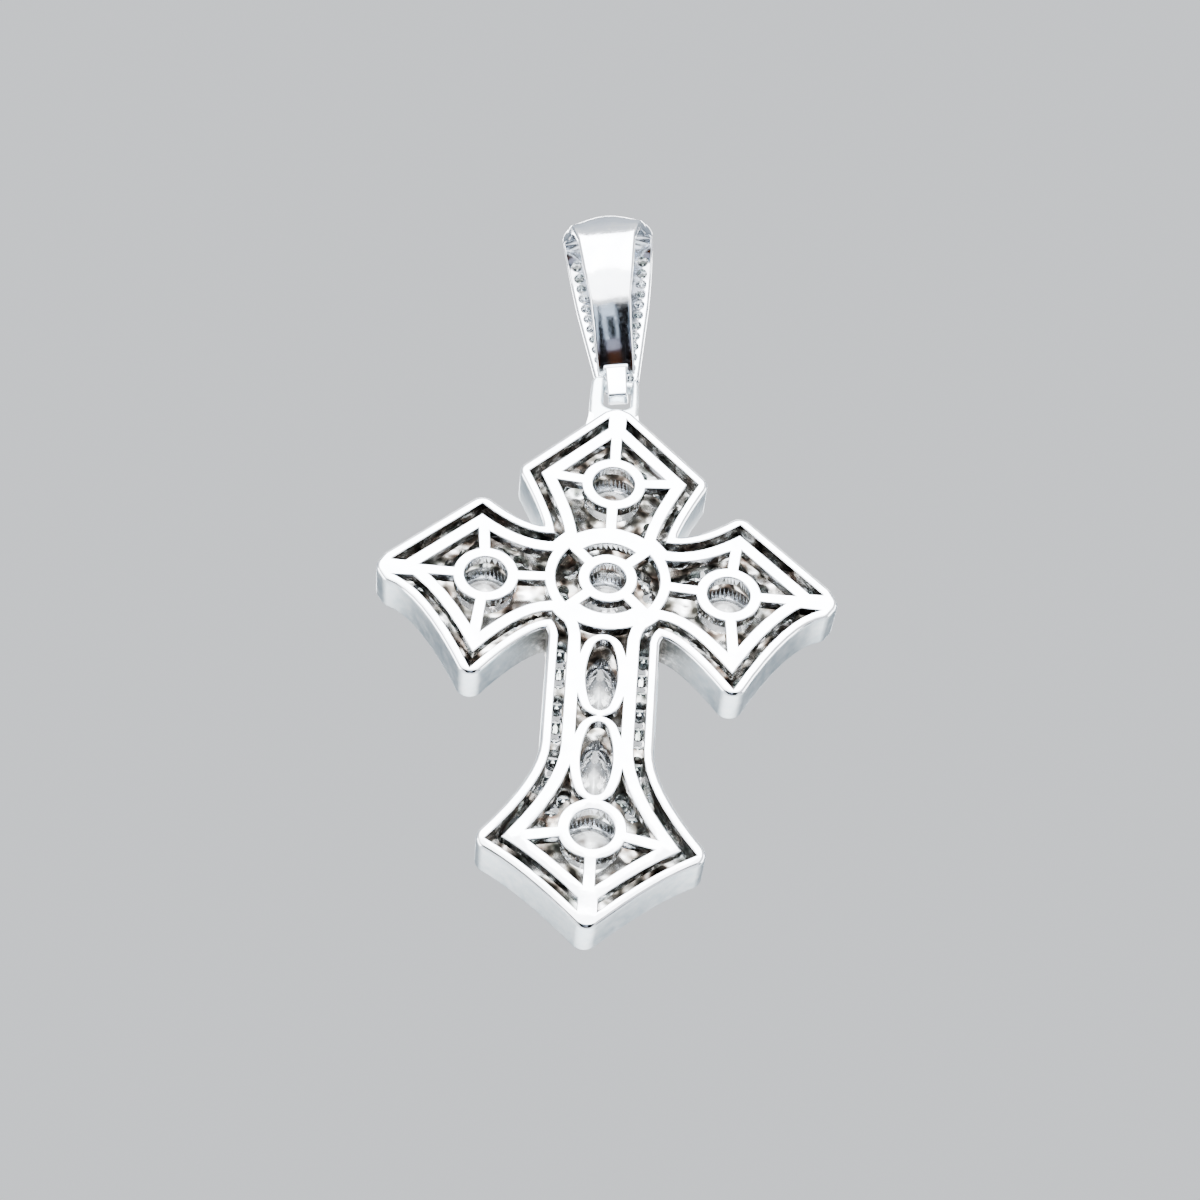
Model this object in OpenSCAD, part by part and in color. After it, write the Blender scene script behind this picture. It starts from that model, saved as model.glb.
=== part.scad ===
// Cross pendant: a deep pierced-back cross set with stones, hanging from a tapered bail.
// The front faces -Y and the pierced back +Y. The origin is inside the top of the bail, where a chain bears.
// Outlines are given from the medallion's centre, [sideways, upward], for the half with positive values.

/* [Cross outline] */
// Height of the top point of the wall's inner edge
top_tip_z = 15.0; // [14.8:0.1:15.4]
// Shoulder of the top lobe
top_corner = [6.15, 9.1]; // [5.9:0.05:9.3]
// Point that the top lobe's side leans to
top_bend = [4.25, 5.4]; // [4.1:0.05:5.6]
// Inner corner between the top lobe and the arm
upper_pit = [3.95, 3.55]; // [3.4:0.05:4.1]
// Point that the arm's upper neck leans to
upper_bend = [6.2, 3.2]; // [3:0.05:6.4]
// Upper corner of the arm
arm_top_corner = [9.28, 5.72]; // [5.6:0.02:9.4]
// Reach of the arm's blunt tip
arm_tip_x = 15.6; // [15.3:0.1:15.9]
// Height of the arms' axis
arm_axis_z = -0.55; // [-0.8:0.05:-0.3]
// Point that the arm's lower side leans to
arm_bend = [12.5, -2.0]; // [-2.2:0.1:12.7]
// Lower corner of the arm
arm_low_corner = [9.08, -8.56]; // [-8.8:0.02:9.2]
// Point that the arm's lower neck leans to
lower_bend = [5.6, -4.0]; // [-4.2:0.1:5.8]
// Inner corner between the arm and the shaft
lower_pit = [3.75, -3.95]; // [-4.1:0.05:3.9]
// Half width of the shaft to the wall's inner edge
shaft_half = 3.15; // [3.05:0.05:3.3]
// Height where the shaft starts to flare
flare_z = -14.1; // [-14.6:0.1:-13.6]
// Point that the flare leans to
flare_bend = [3.15, -17.2]; // [-17.6:0.1:3.2]
// Corner of the foot
foot_corner = [7.0, -21.94]; // [-22.2:0.02:7.2]
// Point that the foot's lower side leans to
foot_bend = [4.1, -23.4]; // [-23.6:0.1:4.3]
// Height of the foot's point
foot_tip_z = -27.4; // [-27.8:0.1:-27]

/* [Cross metal] */
// Depth of the cross from its back to the front edge
case_depth = 3.2; // [3:0.1:3.6]
// Thickness of the side wall
wall_t = 0.72; // [0.6:0.02:0.8]
// Extra rounding of the outline's corners
corner_soft = 0.3; // [0.2:0.05:0.4]
// Width of the slots inside the wall
slot_w = 0.7; // [0.6:0.05:0.8]
// Width of the band inside the slots
band_w = 0.87; // [0.75:0.02:0.95]
// Thickness of the pierced back
gallery_t = 0.8; // [0.6:0.05:1]
// Thickness of the front plate
plate_t = 0.95; // [0.8:0.05:1.1]
// Depth from the back to the front plate's face
plate_face = 2.95; // [2.8:0.05:3.05]
// Width of the bars that carry the back rings
bar_w = 0.78; // [0.65:0.01:0.9]
// Outer radius of the lobes' back rings
ring_r = 2.3; // [2.1:0.05:2.4]
// Radius of the holes in the lobes' back rings
ring_hole_r = 1.52; // [1.4:0.02:1.6]

/* [Medallion] */
// Outer radius of the medallion's metal
medal_r = 4.45; // [4.3:0.05:4.55]
// Radius at which the slots stop short of the medallion
slot_stop_r = 4.95; // [4.85:0.05:5.1]
// Outer radius of the medallion's side openings
side_gap_r = 3.7; // [3.5:0.05:3.8]
// Outer radius of its top and bottom openings
cap_gap_r = 3.05; // [2.9:0.05:3.2]
// Outer radius of its centre ring
centre_ring_r = 2.08; // [2:0.02:2.2]
// Radius of the centre hole
centre_hole_r = 1.3; // [1.2:0.02:1.4]

/* [Main stones] */
// Radius of the round stones in the lobes
lobe_stone_r = 2.1; // [2:0.05:2.15]
// Radius of the centre stone
centre_stone_r = 2.0; // [1.9:0.05:2.05]
// Half width and half length of the marquise stones
marquise_size = [1.3, 2.9]; // [1.2:0.05:3]
// Depth from the back to the main stones' widest line
main_girdle = 3.4; // [3.3:0.05:3.5]

/* [Small stones] */
// Radius of the cross's small stones
pave_r = 0.6; // [0.55:0.01:0.61]
// Distance between the small stones of the border
pave_pitch = 1.46; // [1.42:0.01:1.52]
// Radius of the bail's small stones
bail_stone_r = 0.45; // [0.4:0.01:0.46]
// Distance between the bail's rows
bail_row_pitch = 1.05; // [1.04:0.01:1.1]

/* [Bail] */
// Height of the bail's top above the hinge
bail_rise = 15; // [14.6:0.1:15.2]
// Depth of the bail from its front to its back
bail_depth = 6.5; // [6.3:0.1:6.7]
// Thickness of the bail's strip
strip_t = 0.8; // [0.7:0.05:0.85]
// Sideways lean of the bail on the hanging loop, in degrees
bail_lean = 5.5; // [0:0.5:6]
// Twist of the bail on the hanging loop, in degrees
bail_twist = 8; // [0:0.5:8]
// Outer radius of the small ring at its lower end
hinge_ring_r = 1.32; // [1.25:0.01:1.35]
// Radius of the hole in that ring
hinge_hole_r = 0.74; // [0.72:0.01:0.78]
// Width of that ring
hinge_ring_w = 1.44; // [1.3:0.02:1.46]

/* [Hanging loop] */
// Height of the hinge axis above the medallion's centre
hinge_z = 19.15; // [19:0.05:19.3]
// Depth from the back of the cross to the hinge axis
hinge_depth = 1.75; // [1.5:0.05:1.9]
// Sideways place of the bail's ring on the loop
hinge_x = 0.13; // [0:0.01:0.15]
// Radius of the loop's round top bar
pin_r = 0.5; // [0.45:0.01:0.52]
// Half width of the loop outside its legs
loop_half = 1.83; // [1.8:0.01:1.9]
// Half width of the gap between its legs
loop_gap = 1.04; // [1.02:0.01:1.05]
// Thickness of the loop from front to back
loop_t = 1.3; // [1.2:0.05:1.4]

/* [Hidden] */
$fn = 48;
metal = "gainsboro";
stone = "lightcyan";
overlap = 0.2;          // how far joined metal runs into its neighbour
plate_lap = 0.12;       // the same for the front plate, which stops short of the seats' outer edges
stone_gap = 0.05;       // clearance between a stone and its metal
mirror_x = [-1, 1];
pave_raise = 0.14;      // height of the cross's small stones' widest line above the plate
bail_raise = 0.1;       // the same on the bail
stone_space = 0.11;     // space between the stones of one row on the bail
pave_hole_inset = 0.1;  // how much smaller than its stone each open seat is
bail_hole_inset = 0.08;

// Ring centres, measured from the medallion's centre
top_ring = [0, 8.49];
arm_ring = [8.57, arm_axis_z];
foot_ring = [0, -20.57];
marquise_z = [-8.25, -15.05];
marquise_hole = [1.1, 3.12];
marquise_rim = 0.72;
hole_soft = 0.7;        // rounding of the ends of the back ovals

// Small functions on points and paths
function unit(v) = v / norm(v);
function right_of(v) = [v[1], -v[0]];
function sum(list, i = 0) = i < len(list) ? list[i] + sum(list, i + 1) : 0;
function lengths(path) = [for (i = [1:len(path) - 1]) norm(path[i] - path[i - 1])];
function part_of(path, a, b) = [for (i = [a:b]) path[i]];
function flipped(path) = [for (p = path) [-p[0], p[1]]];
function backwards(path) = [for (i = [len(path) - 1:-1:0]) path[i]];
function bend(a, lean, b, steps = 8) =
    [for (i = [0:steps - 1]) let (u = i / steps) (1 - u) * (1 - u) * a + 2 * u * (1 - u) * lean + u * u * b];

// Point at a distance along a path, and a number of equal steps along it
function walk(path, d, i = 1) =
    let (step = norm(path[i] - path[i - 1]))
    (d <= step || i == len(path) - 1) ? path[i - 1] + (path[i] - path[i - 1]) * min(1, d / step)
                                      : walk(path, d - step, i + 1);
function evenly(path, n) = let (total = sum(lengths(path))) [for (k = [0:n]) walk(path, total * k / n)];

// Inner edge of the wall, clockwise: the right half from the top point to the foot's point
blunt = 0.55;
sides = [
    concat([[0, top_tip_z], [blunt, top_tip_z - 0.25]], [top_corner]),
    concat(bend(top_corner, top_bend, upper_pit), [upper_pit]),
    concat(bend(upper_pit, upper_bend, arm_top_corner), [arm_top_corner]),
    [arm_top_corner, [arm_tip_x - 0.4, arm_axis_z + 0.75], [arm_tip_x, arm_axis_z]],
    concat([[arm_tip_x, arm_axis_z]], bend([arm_tip_x - 0.45, arm_axis_z - 0.65], arm_bend, arm_low_corner),
           [arm_low_corner]),
    concat(bend(arm_low_corner, lower_bend, lower_pit), [lower_pit]),
    concat(bend(lower_pit, [shaft_half, -4.6], [shaft_half, -5.8], 4),
           bend([shaft_half, flare_z], flare_bend, foot_corner), [foot_corner]),
    concat(bend(foot_corner, foot_bend, [0, foot_tip_z]), [[0, foot_tip_z]])
];
half_line = [for (s = sides) each part_of(s, 0, len(s) - 2)];
wall_line = concat(half_line, [[0, foot_tip_z]],
                   flipped(backwards(part_of(half_line, 1, len(half_line) - 1))));

// The same line moved inwards, used for the rows of stones
function moved_in(path, by) = [for (i = [0:len(path) - 1]) let (
    a = path[(i + len(path) - 1) % len(path)], b = path[(i + 1) % len(path)],
    n1 = right_of(unit(path[i] - a)), n2 = right_of(unit(b - path[i])))
    path[i] + by * (n1 + n2) / (1 + n1 * n2)];

// Border row: stones along each side of the half outline, then mirrored
border_inset = 0.3;
border_line = moved_in(wall_line, border_inset);
side_starts = [for (k = [0:len(sides)]) k == 0 ? 0 : sum([for (j = [0:k - 1]) len(sides[j]) - 1])];
function border_side(k) = part_of(border_line, side_starts[k], side_starts[k + 1]);
function border_steps(k) = round(sum(lengths(border_side(k))) / pave_pitch);
border_half = [for (k = [0:len(sides) - 1]) let (row = evenly(border_side(k), border_steps(k)))
    each part_of(row, 0, len(row) - 2)];
border_foot = border_line[side_starts[len(sides)]];

// Second row inside each lobe, from corner to corner
top_row = [[0, 12.95], [4.05, 8.75], [2.3, 4.95]];
arm_row = [[5.0, 1.75], [9.2, 3.45], [13.0, arm_axis_z], [9.0, -5.3], [5.3, -2.5]];
arm_row_lean = [10.75, -2.2];
foot_row = [[0, -25.0], [4.3, -20.75], [1.95, -16.9]];
function line_of(a, b, n) = [for (k = [0:n - 1]) a + (b - a) * k / n];
top_second = concat(line_of(top_row[0], top_row[1], 4), line_of(top_row[1], top_row[2], 3), [top_row[2]]);
arm_second = concat(line_of(arm_row[0], arm_row[1], 3), line_of(arm_row[1], arm_row[2], 4),
                    bend(arm_row[2], arm_row_lean, arm_row[3], 4), line_of(arm_row[3], arm_row[4], 3),
                    [arm_row[4]]);
foot_second = concat(line_of(foot_row[0], foot_row[1], 4), line_of(foot_row[1], foot_row[2], 3),
                     [foot_row[2]]);
function mirrored(path) = [for (p = path) if (abs(p[0]) > 0.01) [-p[0], p[1]]];

// Halo of the medallion, and the stones in the corners beside the marquises
halo_r = 3.1;
halo_count = 12;
halo = [for (k = [0:halo_count - 1]) halo_r * [sin(360 * k / halo_count), cos(360 * k / halo_count)]];
between = [[1.5, -11.65]];

// Runs of stones that share one open slot in the front plate
run = 3;
function runs_of(path) = [for (i = [0:run:len(path) - 1]) part_of(path, i, min(i + run - 1, len(path) - 1))];
border_runs = concat(runs_of(border_half), [[border_foot]]);
half_runs = concat(border_runs, runs_of(top_second), runs_of(arm_second), runs_of(foot_second), [between]);
pave_points = concat(border_half, mirrored(border_half), [border_foot],
                     top_second, mirrored(top_second), arm_second, mirrored(arm_second),
                     foot_second, mirrored(foot_second), halo, between, mirrored(between));

// Bail: stations along the middle of its strip, [forward, upward] from the hinge axis
front_mid = hinge_ring_r - strip_t / 2;
back_mid = front_mid - bail_depth + strip_t;
bend_start_z = 10;
bend_mid = (front_mid + back_mid) / 2;
bend_reach = (front_mid - back_mid) / 2;
bend_rise = bail_rise - strip_t / 2 - bend_start_z;
waist = [-0.2, 1.22];
function curl(u) = let (v = 1 - u)
    v * v * v * [back_mid, bend_start_z] + 3 * v * v * u * [back_mid, 5.6] + 3 * v * u * u * [-3.4, 3.0]
    + u * u * u * waist;
strip_path = concat(
    [for (z = [0.2, 1.1, 4, 7]) [front_mid, z]],
    [for (a = [0:9:180]) [bend_mid + bend_reach * cos(a), bend_start_z + bend_rise * sin(a)]],
    [for (k = [1:12]) curl(k / 12)]);
strip_steps = lengths(strip_path);
strip_at = [for (i = [0:len(strip_path) - 1]) i == 0 ? 0 : sum([for (j = [0:i - 1]) strip_steps[j]])];
// Half width of the strip: [distance along it, half width]
strip_widths = [[0, 0.72], [0.9, 1.6], [8.2, 2.76], [13.5, 3.42], [15.4, 3.48], [18, 2.9], [20.9, 2.18],
                [23.8, 1.87], [26.2, 1.54], [28.5, 1.44], [32, 1.4]];
// Height of its arch across the width: [distance along it, height]
strip_arches = [[12.7, 0], [14.8, 0.8], [17.4, 0.92], [18.6, 0.3], [19.6, 0]];
strip_chamfer = 0.14;
function arch_drop(s, x) = lookup(s, strip_arches) * pow(x / lookup(s, strip_widths), 2);

// Rows of stones on the bail's front: distance along the strip, and how many lie side by side
first_row_at = 1.0;
row_count = 12;
rail = 0.28;
function row_half(s) = lookup(s, strip_widths) - rail - bail_stone_r;
function row_number(s) = max(2, floor((2 * row_half(s) + 0.03) / (2 * bail_stone_r + stone_space)) + 1);
function row_xs(s) = let (n = row_number(s)) [for (j = [0:n - 1]) row_half(s) * (2 * j / (n - 1) - 1)];
function strip_turn(s) = let (a = walk(strip_path, s - 0.05), b = walk(strip_path, s + 0.05))
    atan2(b[0] - a[0], b[1] - a[1]);

// Places of the two frames: the hinge axis, which the bail's seat point fixes, and the medallion's centre
seat = [-bend_mid, bail_rise - strip_t];
seat_turned = [seat[0] * sin(bail_twist), seat[0] * cos(bail_twist)];
hinge_at = [-seat_turned[0] * cos(bail_lean) - seat[1] * sin(bail_lean), -seat_turned[1],
            seat_turned[0] * sin(bail_lean) - seat[1] * cos(bail_lean)];
module in_cross() {
    translate(hinge_at + [-hinge_x, hinge_depth, -hinge_z]) rotate([90, 0, 0]) children();
}
module in_bail() {
    translate(hinge_at) rotate([0, bail_lean, 0]) rotate([90, 0, -bail_twist]) children();
}

// Extrudes an outline between two depths, both measured from the back towards the front
module slab(from, to) {
    translate([0, 0, from]) linear_extrude(to - from) children();
}
module both_sides() {
    children();
    mirror([1, 0]) children();
}
module at(p) {
    translate([p[0], p[1]]) children();
}

// Wall line moved in or out by an amount
module line_in(by) {
    if (by < 0) offset(r = -by, $fn = 32) polygon(wall_line);
    else if (by > 0) offset(delta = -by) polygon(wall_line);
    else polygon(wall_line);
}

// The case's outer edge, with its corners rounded further
module outer_line() {
    offset(r = wall_t + corner_soft, $fn = 48) offset(delta = -corner_soft) polygon(wall_line);
}

// Pointed oval with softened ends
module pointed_oval(half_w, half_l, soft = 0.35) {
    w = half_w - soft;
    l = half_l - soft * 1.3;
    arc_r = (w * w + l * l) / (2 * w);
    offset(r = soft, $fn = 24) intersection() {
        translate([arc_r - w, 0]) circle(arc_r, $fn = 96);
        translate([w - arc_r, 0]) circle(arc_r, $fn = 96);
    }
}

module bar(from, to) {
    d = to - from;
    translate(from) rotate(atan2(d[1], d[0])) translate([0, -bar_w / 2]) square([norm(d), bar_w]);
}

// The four bars that carry one lobe's ring: to its tip, to its two corners and to the medallion
module lobe_bars(centre, tip, corner_a, corner_b) {
    bar(centre, tip);
    bar(centre, corner_a);
    bar(centre, corner_b);
    bar(centre, [0, 0]);
}

// Openings of the pierced back, before the rings and bars are put back
module open_lobes() {
    difference() {
        line_in(slot_w + band_w);
        circle(medal_r);
    }
}
module slots() {
    tip_bridge = 1.3;
    difference() {
        line_in(0);
        line_in(slot_w);
        circle(slot_stop_r);
        translate([-tip_bridge / 2, -30]) square([tip_bridge, 50]);
        translate([-20, arm_axis_z - tip_bridge / 2]) square([40, tip_bridge]);
    }
}
module gallery_metal() {
    at(top_ring) circle(ring_r);
    at(foot_ring) circle(ring_r);
    both_sides() {
        at(arm_ring) circle(ring_r);
        lobe_bars(arm_ring, [arm_tip_x, arm_axis_z],
                  arm_top_corner - [0.1, 0.6], arm_low_corner + [0.1, 0.6]);
        bar(top_ring, top_corner - [0.6, 0.05]);
        bar(foot_ring, foot_corner + [-0.6, 0.1]);
        for (z = marquise_z) bar([0, z], [shaft_half, z]);
    }
    bar(top_ring, [0, top_tip_z]);
    bar(top_ring, [0, 0]);
    bar(foot_ring, [0, foot_tip_z]);
    for (z = marquise_z) translate([0, z])
        pointed_oval(marquise_hole[0] + marquise_rim, marquise_hole[1] + marquise_rim,
                     hole_soft + marquise_rim);
}
module gallery_holes() {
    for (p = [top_ring, foot_ring]) at(p) circle(ring_hole_r);
    both_sides() at(arm_ring) circle(ring_hole_r);
    for (z = marquise_z) translate([0, z]) pointed_oval(marquise_hole[0], marquise_hole[1], hole_soft);
}

// Openings of the medallion: between its centre ring, its rim and the slanting bars
module medallion_gaps() {
    difference() {
        union() {
            intersection() {
                circle(side_gap_r);
                both_sides() polygon([[0, 0], [6, 6], [6, -6]]);
            }
            circle(cap_gap_r);
        }
        circle(centre_ring_r);
        for (a = [45, 135]) rotate(a) square([20, bar_w], center = true);
    }
    circle(centre_hole_r);
}
module gallery() {
    difference() {
        line_in(-overlap);
        slots();
        difference() {
            open_lobes();
            gallery_metal();
        }
        gallery_holes();
        medallion_gaps();
    }
}

// One open slot in the front plate, under a run of stones
module seat_slot(points) {
    seat_r = pave_r - pave_hole_inset;
    joining_w = 1.4 * seat_r;
    for (p = points) at(p) circle(seat_r);
    if (len(points) > 1) for (i = [1:len(points) - 1]) {
        d = points[i] - points[i - 1];
        translate(points[i - 1]) rotate(atan2(d[1], d[0])) translate([0, -joining_w / 2])
            square([norm(d), joining_w]);
    }
}
module stone_seats() {
    both_sides() for (r = half_runs) seat_slot(r);
    for (k = [0:3]) seat_slot(part_of(halo, 3 * k, 3 * k + 2));
}

// Seats of the main stones: a low collet and four claws, and a well below the stone
collet_rim = 0.2;
collet_top = main_girdle - 0.12;
seat_foot = plate_face - plate_t / 2;
claw_r = 0.2;
claw_top = main_girdle + 0.22;
well_inset = 0.07;
module at_main_rings() {
    for (p = [top_ring, foot_ring]) at(p) children();
    for (s = mirror_x) at([s * arm_ring[0], arm_ring[1]]) children();
}
module round_seat(r, angle) {
    slab(seat_foot, collet_top) circle(r + collet_rim);
    for (k = [0:3]) rotate(angle + 90 * k) translate([r + stone_gap + claw_r, 0])
        slab(seat_foot, claw_top) circle(claw_r, $fn = 16);
}
module main_well(r) {
    slab(plate_face - plate_t - overlap, claw_top) circle(r - well_inset);
}

// Side wall: its front edge is scooped out behind each stone of the border
module side_wall() {
    scoop_from = 2.72;
    slab(0, scoop_from) difference() {
        outer_line();
        line_in(0);
    }
    slab(scoop_from, case_depth) difference() {
        outer_line();
        line_in(0);
        both_sides() for (p = border_half) at(p) circle(pave_r + stone_gap, $fn = 24);
        at(border_foot) circle(pave_r + stone_gap, $fn = 24);
    }
}
module cross_case() {
    color(metal) in_cross() difference() {
        union() {
            side_wall();
            slab(0, gallery_t) gallery();
            slab(plate_face - plate_t, plate_face) difference() {
                line_in(-plate_lap);
                stone_seats();
            }
            at_main_rings() round_seat(lobe_stone_r, 0);
            round_seat(centre_stone_r, 45);
            for (z = marquise_z) translate([0, z]) slab(seat_foot, collet_top)
                pointed_oval(marquise_size[0] + collet_rim, marquise_size[1] + collet_rim);
            hanging_loop();
        }
        at_main_rings() main_well(lobe_stone_r);
        main_well(centre_stone_r);
        for (z = marquise_z) translate([0, z]) slab(plate_face - plate_t - overlap, claw_top)
            pointed_oval(marquise_size[0] - well_inset, marquise_size[1] - well_inset);
    }
}

// Loop on the top point: two legs, a round top bar for the bail's ring, and a foot that flares into the wall
loop_shift = 0.3;
loop_top = hinge_z + 0.4;
gap_shift = 0.08;
gap_floor = hinge_z - 2.1;
flare_end = [2.55, 13.8];
function loop_edge(half) = concat([[half - 0.2, loop_top], [half - 0.05, hinge_z - 0.3], [half, 17.6]],
                                  bend([half - 0.02, 16], [half + 0.05, 14.95], flare_end, 5), [flare_end]);
module loop_side() {
    difference() {
        polygon(concat(flipped(backwards(loop_edge(loop_half - loop_shift))),
                       loop_edge(loop_half + loop_shift)));
        translate([gap_shift - loop_gap, gap_floor]) square([2 * loop_gap, 5]);
        translate([gap_shift, gap_floor]) scale([1, 0.5]) circle(loop_gap);
        line_in(-0.3);
    }
}
module hanging_loop() {
    translate([0, 0, hinge_depth]) {
        difference() {
            slab(-loop_t / 2, loop_t / 2) loop_side();
            // Round shoulders about the hinge axis
            translate([0, hinge_z, 0]) rotate([0, 90, 0]) difference() {
                translate([-2, 0, -3]) cube([4, 2, 6]);
                translate([0, 0, -4]) cylinder(r = loop_t / 2, h = 8);
            }
        }
        translate([gap_shift - loop_gap - overlap, hinge_z, 0]) rotate([0, 90, 0])
            cylinder(r = pin_r, h = 2 * (loop_gap + overlap));
    }
}

// Strip of the bail as one skin of sections along its path
function strip_section(i) = let (
    p = strip_path[i],
    a = strip_path[max(0, i - 1)], b = strip_path[min(len(strip_path) - 1, i + 1)],
    out = right_of(unit(b - a)), w = lookup(strip_at[i], strip_widths), h = strip_t / 2, c = strip_chamfer)
    [for (q = [[w - c, h], [w, h - c], [w, c - h], [w - c, -h], [w / 2, -h], [0, -h], [-w / 2, -h],
               [c - w, -h], [-w, c - h], [-w, h - c], [c - w, h], [-w / 2, h], [0, h], [w / 2, h]])
        let (y = p + out * (q[1] - arch_drop(strip_at[i], q[0]))) [q[0], y[1], y[0]]];
strip_round = 14;
strip_points = [for (i = [0:len(strip_path) - 1]) each strip_section(i)];
strip_cap = [[0, 1, 2, 3], [0, 3, 4, 13], [13, 4, 5, 12], [12, 5, 6, 11], [11, 6, 7, 10], [10, 7, 8, 9]];
strip_faces = concat(
    strip_cap,
    [for (i = [0:len(strip_path) - 2]) each [for (k = [0:strip_round - 1])
        let (m = (k + 1) % strip_round, near = strip_round * i, far = strip_round * (i + 1))
        each [[near + k, far + k, far + m], [near + k, far + m, near + m]]]],
    [for (f = strip_cap) [for (k = [3:-1:0]) strip_round * (len(strip_path) - 1) + f[k]]]);
module bail_strip() {
    polyhedron(strip_points, strip_faces, convexity = 6);
}

// Places something on the bail's front at a distance along the strip, facing outwards
module on_bail(s) {
    p = walk(strip_path, s);
    translate([0, p[1], p[0]]) rotate([strip_turn(s), 0, 0]) children();
}
// Ring at the lower end, flat at its back, and wider where it meets the back of the strip
leg_clear_r = 0.92;     // reach of the loop's legs around the hinge axis, kept free of the strip
module hinge_ring() {
    narrow = hinge_ring_w / 2;
    wide = narrow + 0.24;
    widens_z = [0.7, 1.1];
    flat_back = [-1.85, 1.05];
    soft = 0.25;
    intersection() {
        rotate([0, 90, 0]) linear_extrude(2 * wide, center = true) hull() {
            circle(hinge_ring_r);
            offset(r = soft, $fn = 24) translate([soft, flat_back[0] + soft])
                square([hinge_ring_r - 2 * soft, flat_back[1] - flat_back[0] - 2 * soft]);
        }
        slab(-2, 2) both_sides() polygon([[0, -2], [narrow, -2], [narrow, widens_z[0]], [wide, widens_z[1]],
                                          [wide, 2], [0, 2]]);
    }
}
module bail() {
    color(metal) in_bail() {
        difference() {
            union() {
                bail_strip();
                hinge_ring();
            }
            rotate([0, 90, 0]) cylinder(r = hinge_hole_r, h = 8, center = true);
            for (s = mirror_x) translate([s * (hinge_ring_w / 2 + 2), 0, 0]) rotate([0, 90, 0])
                cylinder(r = leg_clear_r, h = 4, center = true);
            for (k = [0:row_count - 1]) let (s = first_row_at + k * bail_row_pitch) on_bail(s)
                slab(-strip_t, strip_t) {
                    for (x = row_xs(s)) translate([x, 0]) circle(bail_stone_r - bail_hole_inset, $fn = 24);
                    square([2 * row_half(s), bail_stone_r], center = true);
                }
        }
    }
}

// Small cut stone: table, eight crown facets and eight below, widest at height 0
module small_stone(r) {
    up = 0.32 * r;
    down = 0.86 * r;
    table_ratio = 0.58;
    ring = [for (k = [0:7]) [cos(45 * k), sin(45 * k)]];
    turned = [for (k = [0:7]) table_ratio * [cos(45 * k + 22.5), sin(45 * k + 22.5)]];
    polyhedron(
        concat([for (p = turned) [r * p[0], r * p[1], up]], [for (p = ring) [r * p[0], r * p[1], 0]],
               [[0, 0, -down]]),
        concat([[for (k = [7:-1:0]) k]],
               [for (k = [0:7]) [k, (k + 1) % 8, 8 + (k + 1) % 8]],
               [for (k = [0:7]) [8 + k, k, 8 + (k + 1) % 8]],
               [for (k = [0:7]) [16, 8 + k, 8 + (k + 1) % 8]]));
}

// Main stone over a round or pointed outline: table, star, bezel and girdle facets, and a pointed pavilion
function round_outline(a) = [cos(a), sin(a)];
function pointed_outline(a) = [cos(a) * abs(cos(a)), sin(a)];
function main_ring(size, k, turn, n, pointed) = [for (j = [0:n - 1]) let (
    a = 360 * j / n + turn, p = pointed ? pointed_outline(a) : round_outline(a))
    [size[0] * p[0] * k, size[1] * p[1] * k]];
function lifted(ring, z) = [for (p = ring) [p[0], p[1], z]];
module main_stone(size, pointed = false) {
    small = min(size[0], size[1]);
    crown = 0.30 * small;
    girdle = 0.06 * small;
    pavilion = 0.80 * small;
    // Rings of 8, 8, 16, 16 and 8 points, then the lowest point
    points = concat(lifted(main_ring(size, 0.56, 0, 8, pointed), crown),
                    lifted(main_ring(size, 0.80, 22.5, 8, pointed), 0.62 * crown),
                    lifted(main_ring(size, 1, 0, 16, pointed), girdle),
                    lifted(main_ring(size, 1, 0, 16, pointed), 0),
                    lifted(main_ring(size, 0.3, 22.5, 8, pointed), -0.78 * pavilion),
                    [[0, 0, -pavilion]]);
    table = 0;
    star = 8;
    upper = 16;
    lower = 32;
    deep = 48;
    top = [for (k = [7:-1:0]) k];
    faces = concat([top], [for (k = [0:7]) let (n = (k + 1) % 8, m = (2 * k + 2) % 16) each [
        [table + k, table + n, star + k],
        [table + n, upper + m, star + k],
        [table + n, star + n, upper + m],
        [star + k, upper + 2 * k + 1, upper + 2 * k],
        [star + k, upper + m, upper + 2 * k + 1],
        [upper + 2 * k, upper + 2 * k + 1, lower + 2 * k + 1, lower + 2 * k],
        [upper + 2 * k + 1, upper + m, lower + m, lower + 2 * k + 1],
        [deep + k, lower + 2 * k, lower + 2 * k + 1],
        [deep + k, lower + 2 * k + 1, lower + m],
        [deep + k, lower + m, deep + n],
        [56, deep + k, deep + n]]]);
    polyhedron(points, faces, convexity = 2);
}
module at_girdle() {
    translate([0, 0, main_girdle]) children();
}
module top_stone() {
    color(stone) in_cross() at(top_ring) at_girdle() main_stone([lobe_stone_r, lobe_stone_r]);
}
module foot_stone() {
    color(stone) in_cross() at(foot_ring) at_girdle() main_stone([lobe_stone_r, lobe_stone_r]);
}
module left_arm_stone() {
    color(stone) in_cross() at([-arm_ring[0], arm_ring[1]]) at_girdle()
        main_stone([lobe_stone_r, lobe_stone_r]);
}
module right_arm_stone() {
    color(stone) in_cross() at(arm_ring) at_girdle() main_stone([lobe_stone_r, lobe_stone_r]);
}
module centre_stone() {
    color(stone) in_cross() at_girdle() main_stone([centre_stone_r, centre_stone_r]);
}
module upper_marquise() {
    color(stone) in_cross() at([0, marquise_z[0]]) at_girdle() main_stone(marquise_size, true);
}
module lower_marquise() {
    color(stone) in_cross() at([0, marquise_z[1]]) at_girdle() main_stone(marquise_size, true);
}
module pave_stones() {
    color(stone) in_cross() for (p = pave_points) translate([p[0], p[1], plate_face + pave_raise])
        small_stone(pave_r);
}
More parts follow.
